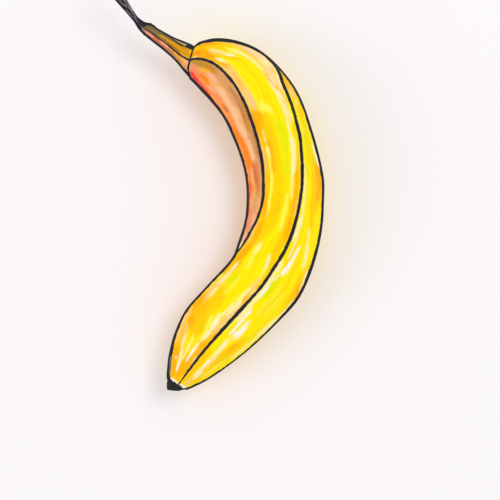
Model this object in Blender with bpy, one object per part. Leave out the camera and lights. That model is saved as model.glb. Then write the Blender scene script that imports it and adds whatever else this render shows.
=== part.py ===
# A plantain: one whole unpeeled fruit as picked, lying on its side.
# Metres, +Z up. Seen from above the stalk points to +Y, the blossom tip to -Y, and the hollow
# of the curve faces -X. The fruit grew as one piece, so it is one closed solid.
import math
from collections import namedtuple

import bmesh
import bpy
from mathutils import Vector

MM = 0.001
NAME = "plantain"

# A rib is one cross-section. x, y, z: its centre. heading: the direction from the hollow side to
# the outer side, in degrees from +X. half_width and half_height: its reach that way and upwards.
# flank and crown: where the two upper ridges cross it, in degrees round the section, from 0 at
# the hollow side over 90 at the top to 180 at the outer side. All lengths are in millimetres.
Rib = namedtuple("Rib", "x y z heading half_width half_height flank crown")

STALK_RIBS = (
    Rib(-60.6, 119.9, 37.6, 36, 3.3, 2.4, 88, 130),  # torn end of the dried stub
    Rib(-57.8, 116.4, 36.4, 36, 3.1, 2.3, 88, 130),
    Rib(-50.8, 107.0, 33.4, 37, 1.9, 1.9, 88, 130),  # waist of the stub
    Rib(-48.3, 104.0, 32.5, 37, 1.8, 1.8, 88, 130),
    Rib(-45.7, 101.2, 31.6, 39, 2.6, 2.5, 88, 130),  # collar where the stub begins
    Rib(-43.5, 99.3, 31.0, 48, 3.2, 3.0, 88, 130),
    Rib(-37.9, 95.6, 29.9, 54, 4.0, 3.8, 87, 130),
    Rib(-28.9, 89.7, 28.0, 60, 5.0, 4.9, 84, 130),
    Rib(-21.3, 84.8, 26.3, 66, 6.7, 6.4, 77, 130),
    Rib(-15.3, 79.8, 24.6, 77, 9.1, 8.7, 86, 132),  # joint of stalk and fruit
)
BODY_RIBS = (
    STALK_RIBS[-1],
    Rib(-12.9, 80.4, 24.3, 71, 11.2, 10.6, 87, 136),
    Rib(-7.6, 80.5, 24.0, 59, 14.8, 13.6, 86, 144),
    Rib(0.1, 78.4, 23.4, 47, 18.4, 17.0, 84, 154),
    Rib(8.9, 73.6, 22.8, 36, 21.6, 19.9, 79, 161),
    Rib(18.2, 65.0, 22.5, 26, 23.3, 21.7, 75, 157),
    Rib(28.0, 51.8, 22.8, 17.5, 24.0, 22.4, 68, 135),
    Rib(35.9, 32.9, 23.4, 5, 24.3, 22.8, 64, 128),
    Rib(40.3, 18.9, 23.3, 2.2, 24.0, 22.8, 60, 120),
    Rib(42.7, 6.0, 23.1, 0, 23.8, 22.8, 55.5, 114.5),
    Rib(43.0, -6.3, 23.1, 0, 23.5, 22.8, 53, 111),
    Rib(42.0, -19.9, 23.3, -3, 23.7, 22.8, 45.5, 106),
    Rib(38.6, -34.5, 23.4, -8, 24.3, 22.8, 33, 101.5),
    Rib(34.0, -47.9, 23.4, -15.5, 24.2, 22.8, 14, 94),
    Rib(27.1, -58.8, 23.1, -20.5, 25.0, 22.7, 21, 92.5),
    Rib(18.2, -68.6, 22.8, -24, 24.8, 22.5, 28, 93),
    Rib(2.6, -85.0, 22.0, -28.5, 23.3, 20.8, 38, 95),
    Rib(-8.7, -98.6, 21.8, -32, 19.1, 17.2, 42, 94.5),
    Rib(-17.2, -109.8, 22.0, -34.5, 13.8, 12.6, 44, 96),
    Rib(-21.7, -116.8, 22.3, -31, 9.3, 8.8, 45, 96),
    Rib(-23.6, -119.9, 22.4, -28, 7.1, 6.8, 45, 96),  # rim of the dry blossom cap
)
CAP_RIBS = (
    Rib(-23.7, -120.3, 22.4, -28, 6.4, 6.2, 45, 96),
    Rib(-24.8, -122.1, 22.5, -20, 5.2, 5.0, 45, 96),
    Rib(-25.6, -123.9, 22.6, -13, 4.5, 4.3, 45, 96),
    Rib(-25.7, -124.4, 22.6, -13, 3.7, 3.5, 45, 96),  # rounded edge of the blunt end
)

INNER_RIDGE = 8.0  # degrees round the section
OUTER_RIDGE = 172.0
KEEL_RIDGE = 266.0
FLANK_FADE = ((41.4, -30.0), (35.4, -48.0))  # the flank ridge runs out between these two points
CROWN_RISE = ((8.9, 73.6), (21.4, 61.0))  # and the crown ridge rises between these

UPPER_FLATNESS = 0.6  # 0 is a round facet and 1 a flat one
UNDER_FLATNESS = 0.36
CREST_HEIGHT = 0.45  # each ridge stands this far proud, on a narrow crest
CREST_WIDTH = 1.5
SLIM_CREST = 0.05  # on the slim stalk the crest is this share of the half width instead

# The dried stub is torn into a long prong on the hollow side and a short one on the outer side.
LONG_PRONG = 4.8
SHORT_PRONG = 3.4
PRONG_TAPER = 2
TORN_RAGGEDNESS = 0.5
TORN_POINTS = 5  # small ragged points round the torn end
TORN_NOTCH = 1.2  # depth of the hollow between the prongs
BLOSSOM_SCAR = 0.8  # depth of the hollow in the blunt tip

COLUMNS_PER_FACET = (8, 9, 9, 11, 11)
CROWDING = 0.5  # how much closer the columns of points stand near a ridge
ROW_SPACING = 3.9
FEWEST_ROWS = 2  # between two ribs
WIDENING_WEIGHT = 0.5  # how much a change of width counts as distance between ribs
WELD = 0.01
SHARP_ANGLE = 35.0

# The three low spots that the fruit lies on: centre x, y, and how far the underside sags there.
REST_SPOTS = ((21.4, 60.6), (43.0, -2.0), (8.4, -78.9))
REST_SAG = 1.5
REST_REACH = 14.0

PEEL_COLOUR = (0.93, 0.66, 0.05, 1.0)
PEEL_ROUGHNESS = 0.5


def smooth_step(value, start, end):
    t = min(max((value - start) / (end - start), 0.0), 1.0)
    return t * t * (3.0 - 2.0 * t)


def spacing(a, b):
    """Distance between two ribs' centres, with a share of how much wider one is."""
    step = math.dist((a.x, a.y, a.z), (b.x, b.y, b.z))
    return math.hypot(step, WIDENING_WEIGHT * (b.half_width - a.half_width))


def between(p0, p1, p2, p3, t):
    """The rib at t from p1 to p2 on a smooth curve through all four."""
    d01 = spacing(p0, p1) or spacing(p1, p2)
    d12 = spacing(p1, p2)
    d23 = spacing(p2, p3) or d12
    values = []
    for v0, v1, v2, v3 in zip(p0, p1, p2, p3):
        slope1 = (v2 - v0) / (d01 + d12) if p0 is not p1 else (v2 - v1) / d12
        slope2 = (v3 - v1) / (d12 + d23) if p3 is not p2 else (v2 - v1) / d12
        h = t * t * (3.0 - 2.0 * t)
        rise = t * (1.0 - t) * ((1.0 - t) * slope1 - t * slope2) * d12
        values.append(v1 + (v2 - v1) * h + rise)
    return Rib(*values)


def resample(ribs):
    """Ribs at an even spacing on the smooth curve through the given ones."""
    rows = []
    for i in range(len(ribs) - 1):
        before = ribs[max(i - 1, 0)]
        after = ribs[min(i + 2, len(ribs) - 1)]
        count = max(FEWEST_ROWS, round(spacing(ribs[i], ribs[i + 1]) / ROW_SPACING))
        for k in range(count):
            rows.append(between(before, ribs[i], ribs[i + 1], after, k / count))
    rows.append(ribs[-1])
    return rows


def all_rows():
    body = resample(BODY_RIBS)
    return resample(STALK_RIBS)[:-1] + body + list(CAP_RIBS)


def along(rib, ends):
    """How far the rib lies from the first of two points towards the second, 0 to 1."""
    (x0, y0), (x1, y1) = ends
    dx, dy = x1 - x0, y1 - y0
    return ((rib.x - x0) * dx + (rib.y - y0) * dy) / (dx * dx + dy * dy)


def facet_radius(angle, ridges):
    """Radius of a many-sided section, 1 at each ridge and less between two of them."""
    ends = ridges + [ridges[0] + 360.0]
    if angle < ends[0]:
        angle += 360.0
    for low, high in zip(ends, ends[1:]):
        if angle <= high:
            break
    flatness = UPPER_FLATNESS if high <= OUTER_RIDGE else UNDER_FLATNESS
    half = math.radians(high - low) / 2.0
    off_middle = math.radians(angle - (low + high) / 2.0)
    return 1.0 - flatness * (1.0 - math.cos(half) / math.cos(off_middle))


def section_radius(angle, rib):
    """Radius at an angle, with the flank and crown ridges as strong as they are on this rib."""
    flank = 1.0 - smooth_step(along(rib, FLANK_FADE), 0.0, 1.0)
    crown = smooth_step(along(rib, CROWN_RISE), 0.0, 1.0)
    inner_outer_keel = [INNER_RIDGE, OUTER_RIDGE, KEEL_RIDGE]
    with_flank = sorted(inner_outer_keel + [rib.flank])
    with_crown = sorted(inner_outer_keel + [rib.crown])
    with_both = sorted(with_flank + [rib.crown])
    radius = (flank + crown - 1.0) * facet_radius(angle, with_both)
    radius += (1.0 - crown) * facet_radius(angle, with_flank)
    radius += (1.0 - flank) * facet_radius(angle, with_crown)
    ridges = {INNER_RIDGE: 1.0, rib.flank: flank, rib.crown: crown, OUTER_RIDGE: 1.0, KEEL_RIDGE: 1.0}
    crest = 0.0
    for ridge, strength in ridges.items():
        off = math.radians(angle - ridge) * rib.half_width / CREST_WIDTH
        crest = max(crest, strength * math.exp(-off * off))
    return radius + crest * min(CREST_HEIGHT / rib.half_width, SLIM_CREST)


def column_angles(rib):
    """Angles of a ring's points, so that a column of points follows each ridge."""
    ridges = (INNER_RIDGE, rib.flank, rib.crown, OUTER_RIDGE, KEEL_RIDGE, INNER_RIDGE + 360.0)
    angles = []
    for low, high, count in zip(ridges, ridges[1:], COLUMNS_PER_FACET):
        for k in range(count):
            full_turn = 2.0 * math.pi
            share = k / count - CROWDING * math.sin(full_turn * k / count) / full_turn
            angles.append(low + (high - low) * share)
    return angles


def section_point(rib, angle):
    """The point of the surface at an angle round a rib."""
    radius = section_radius(angle % 360.0, rib)
    turn = math.radians(angle)
    heading = math.radians(rib.heading)
    out = -math.cos(turn) * radius * rib.half_width
    up = math.sin(turn) * radius * rib.half_height
    sag = 0.0
    for x, y in REST_SPOTS:
        off = math.dist((x, y), (rib.x, rib.y)) / REST_REACH
        sag += REST_SAG * math.exp(-off * off)
    z = rib.z + up - sag * max(0.0, -math.sin(turn)) ** 2
    return (
        (rib.x + math.cos(heading) * out) * MM,
        (rib.y + math.sin(heading) * out) * MM,
        max(z, 0.0) * MM,
    )


def prong_length(angle):
    """How far the torn end of the stub stands out at an angle round it."""
    side = math.cos(math.radians(angle))
    prong = LONG_PRONG if side > 0.0 else SHORT_PRONG
    ragged = TORN_RAGGEDNESS * math.sin(TORN_POINTS * math.radians(angle))
    return prong * abs(side) ** PRONG_TAPER + ragged


def tear_stub(points, rows):
    """The points of the stub's end ring, pulled out along the stub into two prongs."""
    end, inner = rows[0], rows[1]
    axis = Vector((end.x - inner.x, end.y - inner.y, end.z - inner.z)).normalized()
    angles = column_angles(end)
    return [Vector(p) + axis * prong_length(a) * MM for p, a in zip(points, angles)]


def fill_end(bm, ring_verts, depth):
    """Closes one end with a fan of faces round a sunken middle point."""
    edges = {e for v in ring_verts for e in v.link_edges if e.is_boundary}
    cap = bmesh.ops.contextual_create(bm, geom=list(edges))["faces"]
    bmesh.ops.recalc_face_normals(bm, faces=bm.faces)
    bmesh.ops.poke(bm, faces=cap, offset=-depth * MM)


def build_fruit(collection, material):
    rows = all_rows()
    columns = sum(COLUMNS_PER_FACET)
    bm = bmesh.new()
    # A flat sheet of points is rolled round the ribs, and its two long edges are welded.
    bmesh.ops.create_grid(bm, x_segments=columns, y_segments=len(rows) - 1, size=1.0)
    rings = [[section_point(rib, angle) for angle in column_angles(rib)] for rib in rows]
    rings[0] = tear_stub(rings[0], rows)
    for vert in bm.verts:
        column = round((vert.co.x + 1.0) / 2.0 * columns) % columns
        row = round((vert.co.y + 1.0) / 2.0 * (len(rows) - 1))
        vert.co = rings[row][column]
    bmesh.ops.remove_doubles(bm, verts=bm.verts, dist=WELD * MM)
    open_ends = [v for v in bm.verts if v.is_boundary]
    fill_end(bm, [v for v in open_ends if v.co.y > 0.0], TORN_NOTCH)
    fill_end(bm, [v for v in open_ends if v.co.y < 0.0], BLOSSOM_SCAR)
    mesh = bpy.data.meshes.new(NAME)
    bm.to_mesh(mesh)
    bm.free()
    mesh.shade_smooth()
    mesh.set_sharp_from_angle(angle=math.radians(SHARP_ANGLE))
    mesh.materials.append(material)
    fruit = bpy.data.objects.new(NAME, mesh)
    collection.objects.link(fruit)
    return fruit


def peel_material():
    material = bpy.data.materials.new("peel")
    material.use_nodes = True
    shader = material.node_tree.nodes["Principled BSDF"]
    shader.inputs["Base Color"].default_value = PEEL_COLOUR
    shader.inputs["Roughness"].default_value = PEEL_ROUGHNESS
    shader.inputs["Metallic"].default_value = 0.0
    return material


def main():
    for leftover in list(bpy.data.objects):
        bpy.data.objects.remove(leftover, do_unlink=True)
    collection = bpy.data.collections.new(NAME)
    bpy.context.scene.collection.children.link(collection)
    build_fruit(collection, peel_material())


main()
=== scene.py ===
import math
import random
from collections import namedtuple

import bmesh
import bpy
import numpy as np
from mathutils import Color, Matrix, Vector, noise


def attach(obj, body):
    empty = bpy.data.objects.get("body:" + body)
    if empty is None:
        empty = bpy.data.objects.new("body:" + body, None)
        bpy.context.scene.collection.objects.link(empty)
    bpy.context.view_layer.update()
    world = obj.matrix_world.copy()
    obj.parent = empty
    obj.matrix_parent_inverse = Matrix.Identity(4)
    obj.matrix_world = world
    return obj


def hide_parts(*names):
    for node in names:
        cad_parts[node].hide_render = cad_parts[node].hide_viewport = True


# A whole plantain lying on its side, seen from straight above.
# The peel is one fine skin over the frame's solid, coloured with brush marks that follow the fruit.
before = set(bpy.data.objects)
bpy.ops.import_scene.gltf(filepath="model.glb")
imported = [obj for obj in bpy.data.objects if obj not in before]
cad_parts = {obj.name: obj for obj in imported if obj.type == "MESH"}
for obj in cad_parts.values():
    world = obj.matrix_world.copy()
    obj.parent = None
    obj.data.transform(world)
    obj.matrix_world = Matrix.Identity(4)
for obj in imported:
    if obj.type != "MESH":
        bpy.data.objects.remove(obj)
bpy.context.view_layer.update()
mm = 0.001

# One rib is a cross-section: its centre, the heading from the hollow side to the outer side in degrees,
# its half width and half height, and where the flank and crown ridges cross it, in degrees round the
# section (0 hollow side, 90 top, 180 outer side). Lengths are in mm.
Rib = namedtuple("Rib", "x y z heading halfWidth halfHeight flank crown")

fruitShape = {
    "stalkRibs": [
        Rib(-60.6, 119.9, 37.6, 36, 3.3, 2.4, 88, 130),  # torn end of the dried stub
        Rib(-57.8, 116.4, 36.4, 36, 3.1, 2.3, 88, 130),
        Rib(-50.8, 107.0, 33.4, 37, 1.9, 1.9, 88, 130),  # waist of the stub
        Rib(-48.3, 104.0, 32.5, 37, 1.8, 1.8, 88, 130),
        Rib(-45.7, 101.2, 31.6, 39, 2.6, 2.5, 84, 130),  # collar where the stub begins
        Rib(-43.5, 99.3, 31.0, 48, 3.2, 3.0, 82, 130),
        Rib(-37.9, 95.6, 29.9, 54, 4.0, 3.8, 82, 130),
        Rib(-28.9, 89.7, 28.0, 60, 5.0, 4.9, 80, 130),
        Rib(-21.3, 84.8, 26.3, 66, 6.7, 6.4, 74, 130),
        Rib(-15.3, 79.8, 24.6, 77, 9.1, 8.7, 86, 132),  # joint of stalk and fruit
    ],
    "bodyRibs": [
        Rib(-15.3, 79.8, 24.6, 77, 9.1, 8.7, 86, 132),
        Rib(-12.9, 80.4, 24.3, 71, 11.2, 10.6, 87, 136),
        Rib(-7.6, 80.5, 24.0, 59, 14.8, 13.6, 86, 144),
        Rib(0.1, 78.4, 23.4, 47, 18.4, 17.0, 84, 154),
        Rib(9.0, 73.7, 22.8, 36, 21.7, 19.9, 79, 161),
        Rib(18.4, 65.1, 22.5, 26, 23.5, 21.7, 75, 157),
        Rib(28.2, 51.8, 22.8, 17.5, 24.2, 22.4, 68.5, 135),
        Rib(35.9, 32.9, 23.4, 5, 24.3, 22.8, 64.7, 129),
        Rib(40.3, 18.9, 23.3, 2.2, 24.0, 22.8, 61, 121.2),
        Rib(42.9, 6.0, 23.1, 0, 24.0, 22.8, 56.7, 115),
        Rib(43.2, -6.3, 23.1, 0, 23.7, 22.8, 54.4, 111.3),
        Rib(42.2, -19.9, 23.3, -3, 23.9, 22.8, 46.2, 106.3),
        Rib(38.7, -34.5, 23.4, -8, 24.4, 22.8, 32.5, 101.5),
        Rib(34.1, -47.9, 23.4, -15.5, 24.3, 22.8, 14, 94),
        Rib(27.3, -58.9, 23.1, -20.5, 25.2, 22.7, 21, 92.5),
        Rib(18.4, -68.7, 22.8, -24, 25.0, 22.5, 28, 93),
        Rib(2.6, -85.0, 22.0, -28.5, 23.3, 20.8, 38, 95),
        Rib(-8.7, -98.6, 21.8, -32, 19.1, 17.2, 42, 94.5),
        Rib(-17.2, -109.8, 22.0, -34.5, 13.8, 12.6, 44, 96),
        Rib(-21.7, -116.8, 22.3, -31, 9.3, 8.8, 45, 96),
        Rib(-23.6, -119.9, 22.4, -28, 7.1, 6.8, 45, 96),  # rim of the dry blossom cap
    ],
    "capRibs": [
        Rib(-23.7, -120.3, 22.4, -28, 6.4, 6.2, 45, 96),
        Rib(-24.8, -121.8, 22.5, -17, 5.1, 4.9, 45, 96),
        Rib(-25.7, -123.2, 22.6, -8, 4.1, 4.0, 45, 96),
        Rib(-25.9, -123.8, 22.6, -5, 3.5, 3.4, 45, 96),  # rounded edge of the blunt end
    ],
    "collarRib": 4,  # place of the collar among the stalk ribs
    "innerRidge": 8.0,  # the ridges that keep their place, in degrees round the section
    "outerRidge": 172.0,
    "keelRidge": 266.0,
    "flankFade": ((41.4, -30.0), (35.4, -48.0)),  # the flank ridge runs out between these two points
    "crownRise": ((8.9, 73.6), (21.4, 61.0)),  # and the crown ridge rises between these
    "upperFlatness": 0.6,  # from 0, a round section, to 1, flat from ridge to ridge
    "underFlatness": 0.36,
    "crestHeight": 0.45,  # narrow swelling on each ridge
    "crestWidth": 1.5,
    "slimCrest": 0.05,  # its most on the thin stalk, as a share of the half width
    "wideningWeight": 0.5,  # how much a change of width counts as distance between two ribs
    "restSpots": ((21.4, 60.6), (43.0, -2.0), (8.4, -78.9)),  # where the fruit touches the surface
    "restSag": 1.5,
    "restReach": 14.0,
}

# The skin's grid of points, and the small forms on it, in mm. A grain is the number of waves round the
# fruit and their length.
skinDetail = {
    "columns": (24, 46, 28, 22, 20),  # in each of the five facets
    "crowding": 0.5,  # how far they draw together at the ridges
    "rowSpacing": 0.6,
    "weld": 0.004,
    "swell": 0.22,  # slow unevenness
    "swellSize": 24.0,
    "fineRib": 0.07,
    "fineGrain": (9.0, 40.0),
    "wrinkle": 0.2,  # lengthwise wrinkles near both ends
    "wrinkleGrain": (4.6, 16.0),
    "neckStart": (205.0, 250.0),  # where those of the neck begin, and how far past the joint they end
    "neckEnd": (4.0, 12.0),
    "tipEnd": (6.0, 42.0),  # where those of the tip end
    "creaseDepth": 0.5,  # crease where the stalk meets the fruit
    "creaseReach": 0.7,
    "creaseBow": 3.4,  # how far it bends down beside the hollow edge, and within what share of the width
    "bowShare": 0.2,
    "lip": 0.22,  # low swelling beside the crease
    "lipPlace": 2.2,
    "lipReach": 1.4,
    "stubStart": (-1.0, 4.0),  # where the dried stub's forms begin, from the collar on
    "groove": 0.22,  # unevenness of the stub
    "grooveSink": 0.15,
    "grooveGrain": (2.9, 22.0),
    "strandGrooves": (58, 96, 127, 143, 196, 240, 300),  # degrees round the stub
    "strandDepth": 0.42,
    "strandWidth": 5.0,
    "strandBend": 4.0,
    "collarPlace": 5.0,  # how far below the stub the collar's own forms lie
    "collarBurr": 0.5,
    "burrReach": 3.5,
    "burrGrain": (1.6, 1.3, 3.0),
    "collarKnob": 1.0,  # bump on the outer side of the collar
    "knobTurn": 165.0,
    "knobSize": (3.2, 42.0),  # in mm along the stalk and in degrees round it
    "capWrinkle": 0.35,
    "capGrain": (3.4, 1.9),
    "capFade": (-0.6, 0.4),
    "capReach": 1.1,  # how far the dark edge runs up past the step of the cap
    "capSlant": 1.3,  # and how much less of that is left on the outer side
    "charReach": 3.0,  # how far the charcoal colour runs down past the collar, and its slant
    "charSlant": 0.8,
    "longProng": 4.8,
    "shortProng": 3.4,
    "prongReach": 3.0,
    "prongRagged": 0.9,
    "prongWaves": 2.4,
    "tornNotch": 1.2,
    "blossomScar": 0.8,
}


def smoothStep(value, start, end):
    t = min(max((value - start) / (end - start), 0.0), 1.0)
    return t * t * (3.0 - 2.0 * t)


def bell(off):
    return math.exp(-off * off)


def grainAt(angle, along, waves, length, shift=0.0):
    # noise that closes round the fruit
    turn = math.radians(angle)
    return noise.noise(Vector((waves * math.cos(turn), waves * math.sin(turn) + shift, along / length)))


def turnFrom(angle, place):
    # degrees round the section from a place, half a turn at most
    return (angle - place + 180.0) % 360.0 - 180.0


def ribSpacing(a, b):
    step = math.dist((a.x, a.y, a.z), (b.x, b.y, b.z))
    return math.hypot(step, fruitShape["wideningWeight"] * (b.halfWidth - a.halfWidth))


def ribBetween(p0, p1, p2, p3, t):
    d01 = ribSpacing(p0, p1) or ribSpacing(p1, p2)
    d12 = ribSpacing(p1, p2)
    d23 = ribSpacing(p2, p3) or d12
    values = []
    for v0, v1, v2, v3 in zip(p0, p1, p2, p3):
        slope1 = (v2 - v0) / (d01 + d12) if p0 is not p1 else (v2 - v1) / d12
        slope2 = (v3 - v1) / (d12 + d23) if p3 is not p2 else (v2 - v1) / d12
        h = t * t * (3.0 - 2.0 * t)
        rise = t * (1.0 - t) * ((1.0 - t) * slope1 - t * slope2) * d12
        values.append(v1 + (v2 - v1) * h + rise)
    return Rib(*values)


def resample(ribs, spacing):
    rows = []
    for i in range(len(ribs) - 1):
        before = ribs[max(i - 1, 0)]
        after = ribs[min(i + 2, len(ribs) - 1)]
        count = max(1, round(ribSpacing(ribs[i], ribs[i + 1]) / spacing))
        for k in range(count):
            rows.append(ribBetween(before, ribs[i], ribs[i + 1], after, k / count))
    rows.append(ribs[-1])
    return rows


def shareAlong(rib, ends):
    (x0, y0), (x1, y1) = ends
    dx, dy = x1 - x0, y1 - y0
    return ((rib.x - x0) * dx + (rib.y - y0) * dy) / (dx * dx + dy * dy)


def flankStrength(rib):
    return 1.0 - smoothStep(shareAlong(rib, fruitShape["flankFade"]), 0.0, 1.0)


def crownStrength(rib):
    return smoothStep(shareAlong(rib, fruitShape["crownRise"]), 0.0, 1.0)


def facetRadius(angle, ridges):
    # 1 at each ridge and less between two of them
    ends = ridges + [ridges[0] + 360.0]
    if angle < ends[0]:
        angle += 360.0
    for low, high in zip(ends, ends[1:]):
        if angle <= high:
            break
    upper = high <= fruitShape["outerRidge"]
    flatness = fruitShape["upperFlatness"] if upper else fruitShape["underFlatness"]
    half = math.radians(high - low) / 2.0
    offMiddle = math.radians(angle - (low + high) / 2.0)
    return 1.0 - flatness * (1.0 - math.cos(half) / math.cos(offMiddle))


def sectionRadius(angle, rib):
    flank, crown = flankStrength(rib), crownStrength(rib)
    fixed = [fruitShape["innerRidge"], fruitShape["outerRidge"], fruitShape["keelRidge"]]
    withFlank = sorted(fixed + [rib.flank])
    withCrown = sorted(fixed + [rib.crown])
    radius = (flank + crown - 1.0) * facetRadius(angle, sorted(withFlank + [rib.crown]))
    radius += (1.0 - crown) * facetRadius(angle, withFlank)
    radius += (1.0 - flank) * facetRadius(angle, withCrown)
    crest = 0.0
    for ridge, strength in zip(fixed + [rib.flank, rib.crown], (1.0, 1.0, 1.0, flank, crown)):
        off = math.radians(angle - ridge) * rib.halfWidth / fruitShape["crestWidth"]
        crest = max(crest, strength * bell(off))
    return radius + crest * min(fruitShape["crestHeight"] / rib.halfWidth, fruitShape["slimCrest"])


def columnAngles(rib):
    inner = fruitShape["innerRidge"]
    ridges = (inner, rib.flank, rib.crown, fruitShape["outerRidge"], fruitShape["keelRidge"], inner + 360.0)
    angles = []
    for low, high, count in zip(ridges, ridges[1:], skinDetail["columns"]):
        for k in range(count):
            share = k / count - skinDetail["crowding"] * math.sin(math.tau * k / count) / math.tau
            angles.append(low + (high - low) * share)
    return angles


# Rows of the skin from the torn stub to the blossom tip, and how far each lies from that tip, in mm
def fruitRows():
    spacing = skinDetail["rowSpacing"]
    stalk = resample(fruitShape["stalkRibs"], spacing)
    body = resample(fruitShape["bodyRibs"], spacing)
    cap = resample(fruitShape["capRibs"], spacing)
    rows = stalk[:-1] + body + cap
    steps = [math.dist(a[:3], b[:3]) for a, b in zip(rows, rows[1:])]
    total = sum(steps)
    alongs = [total]
    for step in steps:
        alongs.append(alongs[-1] - step)
    return rows, alongs


rows, alongs = fruitRows()


def alongOf(rib):
    nearest = min(range(len(rows)), key=lambda i: math.dist(rows[i][:3], rib[:3]))
    return alongs[nearest]


jointAlong = alongOf(fruitShape["bodyRibs"][0])
collarAlong = alongOf(fruitShape["stalkRibs"][fruitShape["collarRib"]])
rimAlong = alongOf(fruitShape["bodyRibs"][-1])
stubAlong = alongs[0]
firstStep = Vector(rows[0][:3]) - Vector(rows[1][:3])
stubAxis = firstStep.normalized()
flankColumn = skinDetail["columns"][0]
crownColumn = flankColumn + skinDetail["columns"][1]
keelColumn = sum(skinDetail["columns"][:4])
print("rows", len(rows), "length", round(stubAlong, 1), "joint", round(jointAlong, 1))


def creaseOffset(along, across):
    # distance from the crease between stalk and fruit, in mm along the fruit
    bow = skinDetail["creaseBow"] * (1.0 - smoothStep(across, 0.0, skinDetail["bowShare"]))
    return along - jointAlong + bow


def stubRelief(angle, along):
    d = skinDetail
    groove = grainAt(angle, along, *d["grooveGrain"])
    relief = d["groove"] * (groove - d["grooveSink"])
    for place in d["strandGrooves"]:
        off = turnFrom(angle, place) + d["strandBend"] * groove
        relief -= d["strandDepth"] * bell(off / d["strandWidth"])
    return relief * smoothStep(along - collarAlong, *d["stubStart"])


def collarRelief(angle, along):
    d = skinDetail
    fromCollar = along - collarAlong + d["collarPlace"]
    burr = max(grainAt(angle, along, *d["burrGrain"]), 0.0)
    length, width = d["knobSize"]
    knob = bell(math.hypot(fromCollar / length, turnFrom(angle, d["knobTurn"]) / width))
    return d["collarBurr"] * burr * bell(fromCollar / d["burrReach"]) + d["collarKnob"] * knob


def reliefAt(angle, along, rib):
    # how far the skin stands out of the smooth form, in mm
    d = skinDetail
    turn = math.radians(angle)
    size = d["swellSize"]
    relief = d["swell"] * noise.noise(Vector((rib.x / size, rib.y / size + math.cos(turn), math.sin(turn))))
    relief += d["fineRib"] * grainAt(angle, along, *d["fineGrain"])
    nearNeck = smoothStep(along, *d["neckStart"]) * (1.0 - smoothStep(along - jointAlong, *d["neckEnd"]))
    nearTip = 1.0 - smoothStep(along, *d["tipEnd"])
    relief += d["wrinkle"] * max(nearNeck, nearTip) * grainAt(angle, along, *d["wrinkleGrain"])
    fromCrease = creaseOffset(along, (1.0 - math.cos(turn)) / 2.0)
    relief -= d["creaseDepth"] * bell(fromCrease / d["creaseReach"])
    relief += d["lip"] * bell((fromCrease + d["lipPlace"]) / d["lipReach"])
    inCap = 1.0 - smoothStep(along - rimAlong, *d["capFade"])
    relief += d["capWrinkle"] * inCap * grainAt(angle, along, *d["capGrain"])
    return relief + stubRelief(angle, along) + collarRelief(angle, along)


def skinPoint(rib, angle, radius, relief):
    turn, heading = math.radians(angle), math.radians(rib.heading)
    out = -math.cos(turn) * (radius * rib.halfWidth + relief)
    up = math.sin(turn) * (radius * rib.halfHeight + relief)
    sag = 0.0
    for x, y in fruitShape["restSpots"]:
        off = math.dist((x, y), (rib.x, rib.y)) / fruitShape["restReach"]
        sag += fruitShape["restSag"] * bell(off)
    z = rib.z + up - sag * max(0.0, -math.sin(turn)) ** 2
    x = rib.x + math.cos(heading) * out
    y = rib.y + math.sin(heading) * out
    return Vector((x * mm, y * mm, max(z, 0.0) * mm))


# Dark lines on the ridges, each as (mm from the blossom tip, width in mm square to the line)
ridgeLines = {
    "inner": [
        (0, 2.4), (12, 2.4), (30, 1.7), (60, 1.4), (100, 1.6), (200, 1.7), (245, 2.0), (258, 1.5),
        (275, 1.3), (290, 1.5),
    ],
    "outer": [
        (0, 1.8), (12, 1.5), (30, 1.05), (60, 1.3), (75, 1.7), (82, 2.0), (91, 1.75), (102, 2.2),
        (118, 1.7), (200, 1.7), (217, 1.5), (228, 1.8), (236, 2.3), (248, 2.6), (256, 1.7), (270, 1.2),
        (290, 1.2),
    ],
    "flank": [
        (97, 0.0), (99, 1.2), (112, 1.6), (140, 1.8), (170, 2.0), (200, 1.8), (240, 1.8), (256, 1.5),
        (266, 1.0), (274, 0.65), (290, 0.5), (293, 0.0),
    ],
    "crown": [
        (4, 0.7), (10, 1.2), (25, 1.7), (45, 2.3), (62, 2.3), (75, 1.8), (95, 2.0), (112, 2.2),
        (140, 2.0), (175, 2.1), (205, 2.0), (226, 1.9), (228, 0.0),
    ],
    "keel": [(0, 1.0), (60, 1.5), (220, 1.5), (290, 1.0)],
    # where a line leaves its ridge to run into an edge: (mm from the tip, share of the way across)
    "flankPath": [(97, 0.005), (101, 0.024), (104, 0.042), (110, 0.076), (117, 0.106)],
    "forkPath": [
        (186, 0.825), (191, 0.836), (199, 0.85), (204, 0.864), (209, 0.889), (213, 0.926), (218, 0.963),
        (226, 0.985),
    ],
    "belowEdge": 1.0,  # how far the two edge lines reach under the fruit
    "jointAbove": 1.15,  # the line round the joint, above and below the flank ridge
    "jointBelow": 1.7,
    "jointChange": (0.38, 0.5),
}


def lineValue(name, along):
    places, values = zip(*ridgeLines[name])
    return float(np.interp(along, places, values))


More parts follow.
